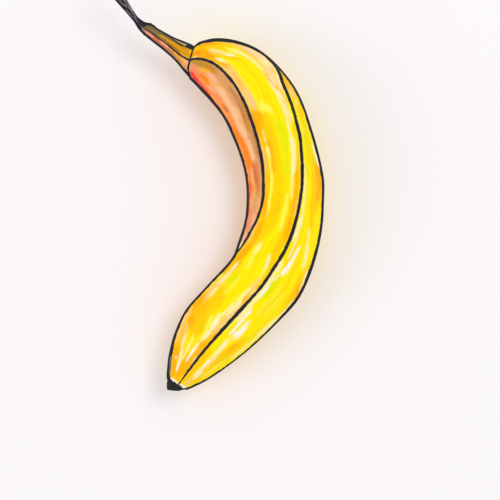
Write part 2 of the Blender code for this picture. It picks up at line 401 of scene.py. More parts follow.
def inkDepths(ring):
    # how deep each point of a ring lies inside the dark lines, in mm, below 0 outside them
    along, outs, leans, halfWidth = ring.along, ring.outs, ring.leans, ring.rib.halfWidth
    low, high = min(outs), max(outs)
    inner, outer, keel = fruitShape["innerRidge"], fruitShape["outerRidge"], fruitShape["keelRidge"]
    flankOut, crownOut = outs[flankColumn], outs[crownColumn]
    if along < ridgeLines["flankPath"][-1][0]:
        flankOut = low + (high - low) * lineValue("flankPath", along)
    if along > ridgeLines["forkPath"][0][0]:
        crownOut = low + (high - low) * lineValue("forkPath", along)
    widths = {name: lineValue(name, along) for name in ("inner", "outer", "flank", "crown", "keel")}
    above, below = ridgeLines["jointAbove"], ridgeLines["jointBelow"]
    depths = []
    for angle, out in zip(ring.angles, outs):
        across = (out - low) / (high - low)
        if angle <= outer:
            depth = widths["inner"] - (out - low) * leans[0]
            depth = max(depth, widths["outer"] - (high - out) * leans[3])
            for name, lineOut, lean in (("flank", flankOut, leans[1]), ("crown", crownOut, leans[2])):
                if widths[name] > 0.0:
                    depth = max(depth, widths[name] / 2.0 - abs(out - lineOut) * lean)
        else:
            reach = min(angle - outer, inner + 360.0 - angle)
            depth = ridgeLines["belowEdge"] - math.radians(reach) * halfWidth
            depth = max(depth, widths["keel"] / 2.0 - math.radians(abs(angle - keel)) * halfWidth)
        jointWidth = below + (above - below) * smoothStep(across, *ridgeLines["jointChange"])
        depths.append(max(depth, jointWidth / 2.0 - abs(creaseOffset(along, across))))
    return depths


# The peel's colours, and the pigments of its brush marks. Each pigment lies over the ones before it. Ragged
# says how far the edges of its marks wander, soft how far they fade in mm, and cover how much they hide.
Pigment = namedtuple("Pigment", "colour ragged soft cover")

peelColours = {
    "lemon": (255, 236, 0),
    "butter": (255, 222, 0),
    "hair": (255, 208, 0),
    # tan and peach ground: painted shade on the flank and the hollow underside
    "shadeTan": (238, 166, 98),
    "shadePeach": (255, 186, 118),
    "charcoal": (42, 42, 48),
    "ash": (84, 80, 84),
    # pale band at the cap's rim: a painted highlight
    "rimHighlight": (255, 238, 205),
    "capBlack": (24, 24, 28),
    "capBrown": (52, 48, 50),
    "inkNavy": (34, 34, 52),
    "inkGreen": (40, 46, 44),
}
pigments = {
    "goldWash": Pigment((255, 207, 0), 0.9, 1.8, 0.88),
    "peachWash": Pigment((255, 202, 112), 0.7, 1.4, 0.85),
    "amberWash": Pigment((255, 182, 0), 0.8, 1.4, 0.85),
    "tanWash": Pigment((208, 146, 84), 0.7, 1.6, 0.9),
    "coralWash": Pigment((255, 146, 62), 0.6, 1.3, 0.88),
    "straw": Pigment((255, 244, 84), 0.55, 0.5, 0.85),
    "lime": Pigment((227, 230, 0), 0.5, 1.0, 0.85),
    # olive marks are streaks of painted shade on the outer facet
    "oliveShade": Pigment((240, 220, 0), 0.5, 1.0, 0.85),
    "golden": Pigment((255, 202, 4), 0.6, 0.9, 0.85),
    "honey": Pigment((224, 150, 0), 0.5, 0.8, 0.95),
    "apricot": Pigment((255, 197, 148), 0.45, 1.0, 0.9),
    "tan": Pigment((222, 160, 100), 0.4, 0.9, 0.85),
    "ochre": Pigment((192, 136, 34), 0.4, 0.8, 0.85),
    "peach": Pigment((255, 202, 122), 0.5, 0.8, 0.9),
    "blush": Pigment((255, 218, 162), 0.5, 0.6, 0.9),
    "marigold": Pigment((255, 156, 0), 0.5, 0.9, 0.88),
    "amber": Pigment((255, 176, 4), 0.5, 0.8, 0.88),
    "coral": Pigment((255, 158, 84), 0.4, 0.9, 0.85),
    "orange": Pigment((255, 134, 14), 0.4, 0.8, 0.92),
    "brown": Pigment((186, 122, 70), 0.3, 0.6, 0.85),
    "copper": Pigment((200, 108, 66), 0.3, 0.6, 0.85),
    "salmon": Pigment((255, 140, 104), 0.4, 0.8, 0.88),
    "red": Pigment((255, 92, 40), 0.25, 0.5, 0.9),
    "crimson": Pigment((255, 50, 62), 0.25, 0.5, 0.95),
    # rose marks are pink painted highlights
    "roseHighlight": Pigment((255, 182, 156), 0.3, 0.5, 0.85),
    "taupe": Pigment((126, 104, 78), 0.4, 0.7, 0.92),
    "umber": Pigment((92, 80, 40), 0.2, 0.5, 0.8),
    "khaki": Pigment((168, 164, 128), 0.2, 0.25, 0.9),
    # cream and white marks are painted highlights
    "creamHighlight": Pigment((255, 240, 164), 0.55, 0.35, 0.92),
    "whiteHighlight": Pigment((255, 248, 236), 0.45, 0.25, 0.95),
}
dryPigments = {
    "flint": Pigment((126, 119, 130), 0.12, 0.2, 0.85),
    # pale lines along the stub's fibres are painted highlights
    "fibreHighlight": Pigment((236, 214, 200), 0.03, 0.08, 0.9),
}

# Brush marks on the upper side: pigment, width in mm, then points as (mm from the blossom tip, share of the
# way from the hollow edge to the outer edge as seen from above)
brushMarks = [
    # broad washes under the finer marks
    ("goldWash", 12.0, (257, 0.62), (247, 0.66), (236, 0.72)),
    ("goldWash", 5.0, (256, 0.88), (245, 0.9), (233, 0.92)),
    ("amberWash", 6.0, (257, 0.6), (250, 0.58), (243, 0.55)),
    ("peachWash", 6.0, (242, 0.93), (228, 0.92), (212, 0.86)),
    ("peachWash", 5.0, (240, 0.52), (222, 0.44), (208, 0.41), (196, 0.39)),
    ("amberWash", 6.0, (203, 0.38), (188, 0.37), (172, 0.33), (158, 0.29), (146, 0.26)),
    ("goldWash", 8.0, (200, 0.46), (176, 0.45), (158, 0.4), (142, 0.38)),
    ("goldWash", 9.0, (158, 0.38), (138, 0.36), (124, 0.31), (112, 0.26)),
    ("amberWash", 4.4, (152, 0.25), (130, 0.22), (116, 0.17), (104, 0.11), (92, 0.06)),
    ("goldWash", 6.0, (172, 0.7), (150, 0.64), (136, 0.58), (122, 0.53), (108, 0.49), (90, 0.48)),
    ("amberWash", 3.0, (150, 0.64), (128, 0.59), (112, 0.55)),
    ("goldWash", 10.0, (74, 0.2), (56, 0.22), (44, 0.25), (30, 0.28)),
    ("amberWash", 6.0, (60, 0.14), (50, 0.17), (40, 0.2)),
    ("peachWash", 3.6, (84, 0.08), (72, 0.09), (62, 0.09)),
    ("amberWash", 3.6, (68, 0.05), (54, 0.07), (40, 0.1), (26, 0.13)),
    ("peachWash", 4.0, (90, 0.46), (72, 0.48), (56, 0.47), (38, 0.46)),
    ("amberWash", 6.0, (34, 0.12), (20, 0.14), (6, 0.2)),
    ("amberWash", 6.0, (42, 0.46), (24, 0.44), (14, 0.4), (4, 0.37)),
    ("goldWash", 5.0, (218, 0.97), (204, 0.94), (190, 0.93)),
    ("goldWash", 4.0, (166, 0.91), (145, 0.91), (132, 0.89)),
    ("amberWash", 2.4, (163, 0.95), (148, 0.95), (138, 0.95)),
    ("goldWash", 6.0, (104, 0.95), (88, 0.94), (74, 0.95)),
    ("amberWash", 2.6, (98, 0.95), (84, 0.95)),
    ("goldWash", 5.0, (50, 0.86), (38, 0.84), (26, 0.83)),
    ("goldWash", 6.0, (34, 0.6), (18, 0.6), (6, 0.62)),
    ("goldWash", 6.0, (34, 0.85), (18, 0.83), (6, 0.8)),
    # tan and coral washes over the flank: partly painted shade, partly the peel's colour
    ("coralWash", 6.0, (252, 0.12), (240, 0.1), (222, 0.07), (205, 0.07), (190, 0.07), (172, 0.09),
     (158, 0.07), (142, 0.05)),
    ("tanWash", 6.0, (255, 0.39), (240, 0.37), (225, 0.33), (208, 0.29), (192, 0.27), (176, 0.25),
     (160, 0.21), (142, 0.17)),
    # crown facet, shoulder
    ("amber", 3.2, (255, 0.64), (250, 0.58), (245, 0.56)),
    ("orange", 1.4, (254, 0.65), (251, 0.6)),
    ("marigold", 2.6, (254, 0.7), (249, 0.62), (244, 0.57)),
    ("marigold", 2.8, (254, 0.6), (247, 0.56), (240, 0.53)),
    ("amber", 2.4, (255, 0.86), (250, 0.84), (244, 0.85)),
    ("amber", 1.8, (246, 0.52), (238, 0.5), (230, 0.5)),
    ("creamHighlight", 1.2, (254.5, 0.5), (252, 0.53)),
    ("golden", 1.8, (248, 0.62), (240, 0.6)),
    ("peach", 1.8, (247, 0.65), (240, 0.66)),
    ("straw", 1.9, (241, 0.7), (234, 0.75)),
    ("creamHighlight", 0.9, (247, 0.7), (238, 0.69)),
    ("whiteHighlight", 1.1, (239, 0.67), (234, 0.71)),
    ("straw", 2.4, (241, 0.79), (232, 0.79)),
    ("creamHighlight", 1.5, (238, 0.8), (228, 0.8), (218, 0.79)),
    ("creamHighlight", 1.8, (241, 0.55), (235, 0.56)),
    ("golden", 2.6, (239, 0.58), (235, 0.66), (230, 0.7)),
    ("peach", 3.2, (231, 0.49), (222, 0.44), (214, 0.41)),
    ("peach", 4.6, (217, 0.42), (206, 0.4), (197, 0.39)),
    ("amber", 0.8, (226, 0.47), (214, 0.42)),
    ("golden", 0.9, (212, 0.4), (202, 0.385)),
    ("golden", 1.8, (205, 0.36), (197, 0.36)),
    ("amber", 5.0, (197.5, 0.39), (189, 0.4)),
    ("marigold", 2.4, (197, 0.36), (190, 0.345), (182, 0.33)),
    ("straw", 3.4, (203, 0.52), (195, 0.47)),
    ("straw", 3.4, (201, 0.53), (193, 0.57)),
    ("golden", 1.8, (236, 0.89), (229, 0.87)),
    ("peach", 4.0, (234, 0.9), (227, 0.91), (218, 0.94)),
    ("blush", 3.4, (236, 0.91), (226, 0.93), (216, 0.93)),
    ("blush", 2.0, (222, 0.86), (212, 0.85), (204, 0.82)),
    ("creamHighlight", 1.2, (227, 0.88), (221, 0.86)),
    ("creamHighlight", 2.4, (226, 0.92), (219, 0.9)),
    ("creamHighlight", 1.8, (219, 0.95), (214, 0.91), (207, 0.86)),
    ("straw", 1.3, (210, 0.86), (200, 0.83)),
    ("golden", 1.8, (219, 0.9), (211, 0.86)),
    ("golden", 2.6, (212, 0.83), (204, 0.8), (195, 0.79)),
    ("peach", 2.6, (220, 0.8), (212, 0.78), (206, 0.77)),
    ("apricot", 1.0, (214, 0.8), (207, 0.77)),
    ("creamHighlight", 1.2, (212, 0.75), (203, 0.74), (190, 0.72)),
    ("blush", 1.4, (206, 0.79), (196, 0.77), (186, 0.755)),
    ("whiteHighlight", 0.6, (215, 0.815), (209, 0.795)),
    ("whiteHighlight", 0.5, (205, 0.77), (200, 0.765)),
    ("whiteHighlight", 0.5, (196, 0.755), (190, 0.745)),
    # crown facet, middle
    ("amber", 3.2, (190, 0.32), (180, 0.33)),
    ("golden", 2.0, (183, 0.33), (169, 0.3)),
    ("peach", 0.9, (173, 0.3), (158, 0.28)),
    ("creamHighlight", 0.7, (184, 0.39), (176, 0.37)),
    ("straw", 1.6, (175, 0.37), (157, 0.34), (145, 0.31), (135, 0.27)),
    ("creamHighlight", 0.8, (173, 0.37), (166, 0.36)),
    ("golden", 3.2, (190, 0.45), (172, 0.42), (155, 0.38)),
    ("amber", 1.6, (178, 0.41), (163, 0.39), (156, 0.37)),
    ("lime", 5.6, (192, 0.61), (180, 0.61), (166, 0.57)),
    ("lime", 4.4, (169, 0.57), (151, 0.54)),
    ("creamHighlight", 1.1, (190, 0.72), (176, 0.7)),
    ("creamHighlight", 2.7, (180, 0.71), (172, 0.69), (164, 0.65), (154, 0.6)),
    ("creamHighlight", 0.9, (158, 0.6), (143, 0.57)),
    ("golden", 1.6, (187, 0.78), (178, 0.78), (165, 0.73)),
    ("straw", 1.6, (145, 0.58), (140, 0.58)),
    ("amber", 1.9, (163, 0.66), (147, 0.64)),
    ("golden", 1.8, (167, 0.7), (151, 0.67)),
    ("amber", 1.9, (146, 0.64), (138, 0.61), (130, 0.6)),
    ("peach", 1.0, (142, 0.63), (130, 0.62)),
    ("golden", 2.6, (145, 0.39), (140, 0.45)),
    ("golden", 5.0, (140, 0.42), (128, 0.34)),
    ("amber", 1.6, (144, 0.24), (130, 0.26)),
    ("straw", 1.6, (144, 0.52), (130, 0.5)),
    ("golden", 1.9, (160, 0.27), (144, 0.27)),
    # crown facet, lower half
    ("golden", 2.6, (131, 0.21), (122, 0.2)),
    ("amber", 3.2, (126, 0.22), (112, 0.19)),
    ("amber", 1.8, (140, 0.24), (130, 0.23)),
    ("peach", 0.8, (126, 0.16), (111, 0.12)),
    ("golden", 3.8, (117, 0.21), (108, 0.18)),
    ("amber", 4.2, (112, 0.18), (103, 0.11), (94, 0.05)),
    ("straw", 1.5, (141, 0.3), (129, 0.26)),
    ("straw", 1.9, (140, 0.51), (130, 0.48), (120, 0.47)),
    ("amber", 2.6, (129, 0.58), (116, 0.55)),
    ("golden", 3.8, (119, 0.53), (105, 0.49)),
    ("golden", 2.6, (108, 0.49), (96, 0.49)),
    ("creamHighlight", 2.4, (112, 0.28), (103, 0.24)),
    ("straw", 2.6, (104, 0.24), (92, 0.24)),
    ("lime", 1.4, (104, 0.28), (96, 0.27)),
    ("creamHighlight", 1.5, (105, 0.43), (95, 0.44)),
    ("straw", 1.9, (98, 0.44), (83, 0.45)),
    ("creamHighlight", 1.5, (95, 0.1), (83, 0.1), (74, 0.09)),
    ("amber", 1.9, (97, 0.13), (84, 0.1)),
    ("amber", 1.6, (94, 0.05), (83, 0.05)),
    ("lime", 3.2, (89, 0.16), (76, 0.19)),
    ("straw", 1.0, (86, 0.23), (70, 0.24)),
    ("peach", 1.3, (89, 0.43), (77, 0.46)),
    ("golden", 2.8, (95, 0.49), (81, 0.48)),
    ("straw", 3.2, (79, 0.42), (67, 0.44)),
    ("creamHighlight", 2.0, (71, 0.455), (58, 0.45)),
    ("creamHighlight", 1.0, (68, 0.41), (55, 0.41)),
    ("creamHighlight", 1.2, (82, 0.43), (69, 0.42)),
    ("amber", 1.9, (77, 0.46), (68, 0.49)),
    ("peach", 2.2, (72, 0.47), (54, 0.46)),
    ("peach", 1.8, (66, 0.5), (44, 0.5)),
    ("golden", 1.3, (78, 0.07), (70, 0.06)),
    ("peach", 2.6, (74, 0.06), (60, 0.11)),
    ("creamHighlight", 1.1, (73, 0.11), (64, 0.12)),
    ("amber", 3.2, (63, 0.06), (50, 0.08)),
    ("peach", 1.9, (51, 0.05), (40, 0.06), (27, 0.09)),
    ("golden", 1.9, (75, 0.15), (57, 0.21)),
    ("golden", 6.4, (56, 0.18), (39, 0.25)),
    ("amber", 3.2, (49, 0.12), (38, 0.17)),
    ("golden", 4.4, (50, 0.26), (36, 0.31)),
    ("straw", 1.6, (54, 0.31), (42, 0.38)),
    ("creamHighlight", 3.2, (56, 0.39), (44, 0.43)),
    ("creamHighlight", 1.3, (58, 0.37), (48, 0.4)),
    ("whiteHighlight", 0.6, (53, 0.405), (48, 0.41)),
    ("creamHighlight", 2.6, (46, 0.43), (35, 0.41)),
    ("creamHighlight", 1.6, (35, 0.4), (25, 0.4)),
    ("whiteHighlight", 0.7, (30, 0.4), (20, 0.405)),
    ("amber", 1.6, (47, 0.51), (36, 0.51)),
    ("amber", 3.2, (39, 0.5), (24, 0.48)),
    ("amber", 4.6, (26, 0.46), (16, 0.41), (7, 0.38)),
    ("peach", 1.9, (33, 0.5), (21, 0.5)),
    ("golden", 1.8, (14, 0.47), (7, 0.51)),
    ("peach", 1.6, (41, 0.12), (27, 0.18)),
    ("straw", 1.9, (37, 0.28), (25, 0.31)),
    ("golden", 3.2, (27, 0.29), (18, 0.34)),
    ("golden", 2.6, (30, 0.1), (23, 0.1)),
    ("amber", 2.6, (26, 0.12), (15, 0.17)),
    ("amber", 3.6, (19, 0.13), (13, 0.18), (7, 0.23)),
    ("creamHighlight", 1.1, (34, 0.17), (25, 0.2)),
    ("marigold", 1.6, (22, 0.13), (14, 0.17), (8, 0.22)),
    ("creamHighlight", 1.4, (26, 0.22), (15, 0.29)),
    ("creamHighlight", 0.9, (30, 0.3), (19, 0.31)),
    ("whiteHighlight", 0.9, (17, 0.29), (11.5, 0.3)),
    ("whiteHighlight", 0.9, (18.8, 0.17), (17.4, 0.17)),
    # outer facet
    ("honey", 1.6, (216, 0.98), (210, 0.965)),
    ("amber", 1.3, (211, 0.94), (205, 0.92)),
    ("golden", 1.9, (209, 0.94), (201, 0.93)),
    ("peach", 1.8, (206, 0.92), (198, 0.92)),
    ("straw", 1.9, (199, 0.92), (193, 0.92)),
    ("golden", 1.9, (197, 0.94), (189, 0.92)),
    ("straw", 0.8, (186, 0.86), (177, 0.86)),
    # olive streaks of painted shade
    ("oliveShade", 3.4, (182, 0.89), (170, 0.88), (158, 0.85)),
    ("oliveShade", 1.9, (190, 0.92), (174, 0.92)),
    ("lime", 1.9, (161, 0.79), (153, 0.8)),
    ("amber", 3.2, (161, 0.93), (146, 0.93)),
    ("amber", 1.9, (150, 0.93), (138, 0.9)),
    ("golden", 3.2, (158, 0.87), (140, 0.86), (130, 0.86)),
    ("whiteHighlight", 0.8, (174, 0.95), (160, 0.965)),
    ("creamHighlight", 0.8, (164, 0.77), (149, 0.75)),
    ("creamHighlight", 1.2, (153, 0.75), (138, 0.73), (129, 0.72)),
    ("creamHighlight", 2.6, (132, 0.72), (123, 0.69), (115, 0.66)),
    ("golden", 1.8, (140, 0.83), (122, 0.86)),
    ("lime", 1.0, (128, 0.74), (116, 0.7)),
    ("creamHighlight", 0.8, (119, 0.71), (105, 0.66)),
    ("creamHighlight", 1.6, (113, 0.76), (104, 0.72), (95, 0.69)),
    ("whiteHighlight", 0.9, (113, 0.755), (105, 0.72), (98, 0.695)),
    ("whiteHighlight", 0.8, (104, 0.7), (94, 0.67)),
    ("straw", 1.0, (84, 0.8), (68, 0.79)),
    ("straw", 0.8, (78, 0.7), (66, 0.72)),
    ("whiteHighlight", 0.9, (99, 0.66), (95, 0.65)),
    ("creamHighlight", 0.8, (123, 0.83), (112, 0.84)),
    ("creamHighlight", 1.7, (114, 0.86), (101, 0.88)),
    ("golden", 1.9, (115, 0.7), (99, 0.66)),
    ("creamHighlight", 3.0, (104, 0.6), (93, 0.57)),
    ("creamHighlight", 2.5, (96, 0.57), (79, 0.56)),
    ("whiteHighlight", 0.9, (95, 0.63), (90, 0.61)),
    ("lime", 3.8, (98, 0.64), (86, 0.62), (75, 0.64)),
    ("creamHighlight", 1.2, (101, 0.94), (89, 0.96)),
    ("whiteHighlight", 1.1, (87, 0.59), (77, 0.59)),
    ("creamHighlight", 2.6, (85, 0.56), (70, 0.58)),
    ("creamHighlight", 3.1, (73, 0.58), (57, 0.6)),
    ("whiteHighlight", 1.2, (68, 0.63), (54, 0.65)),
    ("straw", 0.8, (89, 0.73), (74, 0.73)),
    ("golden", 4.4, (93, 0.93), (81, 0.93)),
    ("amber", 1.9, (93, 0.93), (86, 0.94)),
    ("creamHighlight", 0.9, (83, 0.96), (69, 0.96)),
    ("creamHighlight", 1.9, (70, 0.95), (54, 0.93)),
    ("creamHighlight", 1.9, (62, 0.72), (54, 0.735), (46, 0.75)),
    ("whiteHighlight", 0.9, (61, 0.71), (54, 0.72), (49, 0.74)),
    ("whiteHighlight", 0.9, (57, 0.745), (48, 0.765)),
    ("whiteHighlight", 0.6, (52, 0.7), (46, 0.715)),
    ("straw", 1.3, (63, 0.57), (49, 0.57)),
    ("whiteHighlight", 1.2, (59, 0.64), (48, 0.66)),
    ("lime", 1.6, (54, 0.62), (47, 0.63)),
    ("lime", 1.9, (44, 0.65), (35, 0.66)),
    ("creamHighlight", 1.1, (46, 0.68), (32, 0.7)),
    ("creamHighlight", 1.0, (44, 0.72), (30, 0.735)),
    ("whiteHighlight", 0.6, (43, 0.7), (34, 0.715)),
    ("creamHighlight", 1.0, (36, 0.7), (24, 0.71)),
    ("creamHighlight", 0.8, (33, 0.75), (22, 0.76)),
    ("whiteHighlight", 0.6, (29, 0.715), (22, 0.72)),
    ("golden", 3.2, (49, 0.83), (33, 0.8), (26, 0.81)),
    ("golden", 1.9, (33, 0.61), (20, 0.62)),
    ("creamHighlight", 0.9, (57, 0.94), (36, 0.93)),
    ("amber", 1.3, (45, 0.82), (38, 0.82)),
    ("golden", 3.7, (26, 0.58), (17, 0.59), (8, 0.63)),
    ("creamHighlight", 1.4, (24, 0.72), (14, 0.74)),
    ("creamHighlight", 0.9, (21, 0.77), (13, 0.78)),
    ("whiteHighlight", 0.6, (22, 0.735), (16, 0.74)),
    ("golden", 3.7, (37, 0.77), (22, 0.76)),
    ("golden", 1.9, (18, 0.86), (11, 0.83)),
    ("straw", 0.9, (34, 0.89), (16, 0.87)),
    ("peach", 1.2, (13, 0.73), (6, 0.78)),
    # shaded flank facet: tan, ochre, brown, copper, coral and red marks, partly painted shade and partly the
    # peel's colour; rose and white marks are painted highlights
    ("salmon", 3.2, (255, 0.25), (249, 0.2), (242, 0.16)),
    ("ochre", 2.2, (254.5, 0.43), (248, 0.38), (240, 0.37)),
    ("tan", 1.8, (254.5, 0.34), (248, 0.3)),
    ("ochre", 3.2, (253, 0.38), (243, 0.36), (233, 0.33)),
    ("amber", 1.8, (246, 0.27), (236, 0.3)),
    ("orange", 2.6, (245, 0.19), (238, 0.18), (230, 0.14)),
    ("crimson", 2.0, (253, 0.15), (246, 0.09), (238, 0.07)),
    ("crimson", 1.1, (242, 0.075), (230, 0.06), (220, 0.035)),
    ("coral", 3.8, (249, 0.14), (236, 0.1), (222, 0.08)),
    ("roseHighlight", 1.8, (238, 0.27), (227, 0.23)),
    ("roseHighlight", 1.2, (230, 0.12), (220, 0.12)),
    ("tan", 4.4, (236, 0.35), (224, 0.31), (206, 0.28)),
    ("brown", 1.4, (220, 0.3), (208, 0.28)),
    ("apricot", 3.6, (224, 0.19), (208, 0.165), (192, 0.13)),
    ("tan", 1.4, (226, 0.14), (214, 0.12)),
    ("apricot", 3.8, (196, 0.13), (178, 0.15)),
    ("apricot", 2.6, (181, 0.15), (163, 0.16)),
    ("tan", 1.3, (217, 0.24), (204, 0.2)),
    ("copper", 1.1, (209, 0.26), (198, 0.24)),
    ("ochre", 1.6, (209, 0.31), (190, 0.27)),
    ("coral", 2.5, (223, 0.05), (198, 0.06)),
    ("salmon", 1.3, (220, 0.1), (213, 0.1)),
    ("copper", 1.1, (210, 0.09), (203, 0.09)),
    ("copper", 1.4, (199, 0.23), (191, 0.23)),
    ("ochre", 1.5, (193, 0.21), (184, 0.23)),
    ("tan", 1.9, (187, 0.24), (172, 0.23)),
    ("brown", 1.0, (185, 0.26), (167, 0.23)),
    ("orange", 2.6, (191, 0.06), (171, 0.09), (158, 0.08)),
    ("orange", 1.0, (160, 0.07), (146, 0.06)),
    ("apricot", 1.3, (161, 0.09), (149, 0.08)),
    ("red", 1.2, (151, 0.055), (140, 0.035), (130, 0.035)),
    ("copper", 1.5, (164, 0.14), (150, 0.13)),
    ("ochre", 1.2, (154, 0.14), (142, 0.13)),
    ("red", 0.6, (165, 0.17), (145, 0.15)),
    ("tan", 1.6, (166, 0.22), (142, 0.17)),
    ("tan", 3.1, (144, 0.13), (123, 0.07), (113, 0.05)),
    ("salmon", 1.9, (134, 0.045), (115, 0.035)),
    ("roseHighlight", 1.2, (132, 0.11), (122, 0.1)),
    ("roseHighlight", 1.5, (119, 0.06), (111, 0.055)),
    ("whiteHighlight", 0.8, (110, 0.05), (105, 0.04)),
    ("golden", 1.6, (120, 0.155), (108, 0.105), (98, 0.05)),
    # stalk; on its hollow-side facet the tan ground is painted shade and the rose marks are painted
    # highlights
    ("tanWash", 4.0, (281, 0.24), (270, 0.26), (256, 0.3)),
    ("taupe", 4.8, (294, 0.68), (286, 0.72), (278, 0.8)),
    ("taupe", 2.0, (281, 0.84), (268, 0.84)),
    ("ochre", 1.6, (283, 0.6), (274, 0.63)),
    ("honey", 3.4, (280, 0.6), (266, 0.54)),
    ("honey", 5.0, (273, 0.68), (264, 0.56), (255.5, 0.64)),
    ("ochre", 2.2, (264, 0.76), (255.5, 0.8)),
    ("ochre", 1.4, (262, 0.5), (255.5, 0.52)),
    ("brown", 1.0, (289, 0.46), (281, 0.5), (272, 0.42)),
    ("honey", 2.2, (274, 0.9), (266, 0.92), (256, 0.94)),
    ("khaki", 0.8, (269, 0.865), (256, 0.895)),
    ("umber", 0.9, (292, 0.53), (276, 0.5), (264, 0.45)),
    ("umber", 0.6, (292, 0.74), (281, 0.83), (271, 0.87)),
    ("salmon", 0.7, (289, 0.28), (283, 0.3)),
    ("copper", 3.4, (291, 0.2), (281, 0.24), (268, 0.22)),
    ("brown", 0.8, (286, 0.2), (274, 0.19)),
    ("roseHighlight", 0.9, (289, 0.33), (283, 0.33)),
    ("roseHighlight", 0.9, (278, 0.33), (271, 0.3)),
    ("tan", 2.2, (273, 0.24), (263, 0.26)),
    ("amber", 1.0, (268, 0.24), (259, 0.14)),
    ("amber", 0.9, (266, 0.31), (260, 0.27)),
    ("ochre", 1.0, (264, 0.09), (257, 0.09)),
    ("apricot", 1.6, (262, 0.36), (256, 0.26)),
    ("tan", 2.0, (260, 0.2), (255.5, 0.16)),
    ("brown", 1.0, (270, 0.16), (261, 0.15)),
    ("ochre", 1.6, (285, 0.8), (272, 0.78), (262, 0.7)),
    # dried stub, with pale painted highlights along its fibres, and dark tip
    ("fibreHighlight", 0.3, (315, 0.7), (307, 0.73), (298, 0.74)),
    ("fibreHighlight", 0.22, (316, 0.88), (309, 0.9), (303, 0.9)),
    ("fibreHighlight", 0.3, (310, 0.5), (307, 0.5)),
    ("flint", 0.7, (304, 0.32), (302, 0.32)),
    ("flint", 0.7, (301, 0.5), (295.5, 0.46)),
    ("flint", 0.8, (292.5, 0.4), (288.5, 0.24)),
    ("flint", 0.5, (307, 0.2), (300, 0.24)),
    ("flint", 0.8, (315, 0.3), (309, 0.34)),
    ("flint", 0.7, (17, 0.045), (12, 0.08), (7, 0.13)),
]

# Thin dark marks beside the lines: width in mm, then points in the same coordinates
darkMarks = [
    (1.0, (273, 0.8), (266, 0.77), (260, 0.81), (255, 0.88)),
    (1.6, (263, 0.84), (258, 0.88), (253, 0.93)),
]

markShape = {
    "farthest": 6.0,  # mm beside a mark that its field is followed
    "tipShare": 0.2,  # a mark starts at this share of its width
    "taper": 3.0,  # and is at its full width after so many half widths,
    "taperShare": 0.4,  # or this share of its length
}


def markField(marks, along, across, width, lean):
    # distance inside the nearest mark's edge in mm, below 0 outside it
    shape = markShape
    field = np.full(len(across), -shape["farthest"])
    for markWidth, *points in marks:
        places, shares = zip(*points)
        over = max(along - places[0], places[-1] - along, 0.0)
        if over > shape["farthest"]:
            continue
        half = markWidth / 2.0
        inside = min(places[0] - along, along - places[-1])
        reach = min(shape["taper"] * half, shape["taperShare"] * (places[0] - places[-1]))
        body = half * (shape["tipShare"] + (1.0 - shape["tipShare"]) * smoothStep(inside, 0.0, reach))
        centre = np.interp(-along, [-place for place in places], shares)
        field = np.maximum(field, body - np.hypot((across - centre) * width * lean, over))
    return field


# The side that lies away from the camera gets marks of the same kinds, laid by rule, cream ones as painted
# highlights
hiddenPaint = {
    "kinds": [
        ("golden", 3.6), ("amber", 2.8), ("creamHighlight", 1.6), ("straw", 2.4), ("peach", 2.4), ("lime", 3.2),
        ("ochre", 1.4),
    ],
    "count": 105,
    "seed": 11,
    "start": (14.0, 250.0),  # least and most of each draw
    "length": (20.0, 64.0),
    "share": (0.05, 0.95),
    "drift": (-0.025, 0.025),
    "size": (0.6, 1.2),
    "end": 8.0,  # no mark runs further towards the tip
}


def underMarks():
    kinds = hiddenPaint["kinds"]
    draw = random.Random(hiddenPaint["seed"])
    marks = []
    for k in range(hiddenPaint["count"]):
        name, width = kinds[k % len(kinds)]
        start = draw.uniform(*hiddenPaint["start"])
        end = max(start - draw.uniform(*hiddenPaint["length"]), hiddenPaint["end"])
        share = draw.uniform(*hiddenPaint["share"])
        endShare = share + draw.uniform(*hiddenPaint["drift"])
        marks.append((name, width * draw.uniform(*hiddenPaint["size"]), (start, share), (end, endShare)))
    return marks


def sortMarks(marks):
    kinds = [*pigments, *dryPigments]
    return {kind: [mark[1:] for mark in marks if mark[0] == kind] for kind in kinds}


shownMarks = sortMarks(brushMarks)
hiddenMarks = sortMarks(underMarks())
print("painting", len(brushMarks), "marks above and", hiddenPaint["count"], "below")

# How much of the tan ground of painted shade shows on the flank ridge, under the fruit, on the keel and on
# the hollow edge
shading = {"flank": 0.5, "under": 0.85, "keel": 0.45, "edge": 0.9}


def shadeOf(ring):
    flank = flankStrength(ring.rib)
    shade = np.zeros(len(ring.angles))
    shade[:flankColumn] = flank
    shade[flankColumn] = shading["flank"] * flank
    shade[keelColumn:] = shading["under"]
    shade[keelColumn] = shading["keel"]
    shade[0] = shading["edge"]
    return shade


def paintSkin(ring):
    # the skin's paint values on one ring of points
    low, high = min(ring.outs), max(ring.outs)
    across = (np.array(ring.outs) - low) / (high - low)
    lean = ring.leans[0] + (ring.leans[3] - ring.leans[0]) * across
    upper = np.array(ring.angles) <= fruitShape["outerRidge"]
    paint = {}
    for kind in shownMarks:
        top = markField(shownMarks[kind], ring.along, across, high - low, lean)
        under = markField(hiddenMarks[kind], ring.along, across, high - low, lean)
        paint[kind] = np.where(upper, top, under)
    ink = np.array(inkDepths(ring))
    thin = markField(darkMarks, ring.along, across, high - low, lean)
    paint["ink"] = np.where(upper, np.maximum(ink, thin), ink)
    paint["shade"] = shadeOf(ring)
    charSlant = skinDetail["charSlant"] * (across - 0.5)
    paint["charred"] = ring.along - collarAlong + skinDetail["charReach"] + charSlant
    paint["capped"] = rimAlong + skinDetail["capReach"] - skinDetail["capSlant"] * across - ring.along
    return paint


def closeEnd(bm, ringVerts, depth):
    edges = {e for v in ringVerts for e in v.link_edges if e.is_boundary}
    cap = bmesh.ops.contextual_create(bm, geom=list(edges))["faces"]
    bmesh.ops.recalc_face_normals(bm, faces=bm.faces)
    bmesh.ops.poke(bm, faces=cap, offset=-depth * mm)


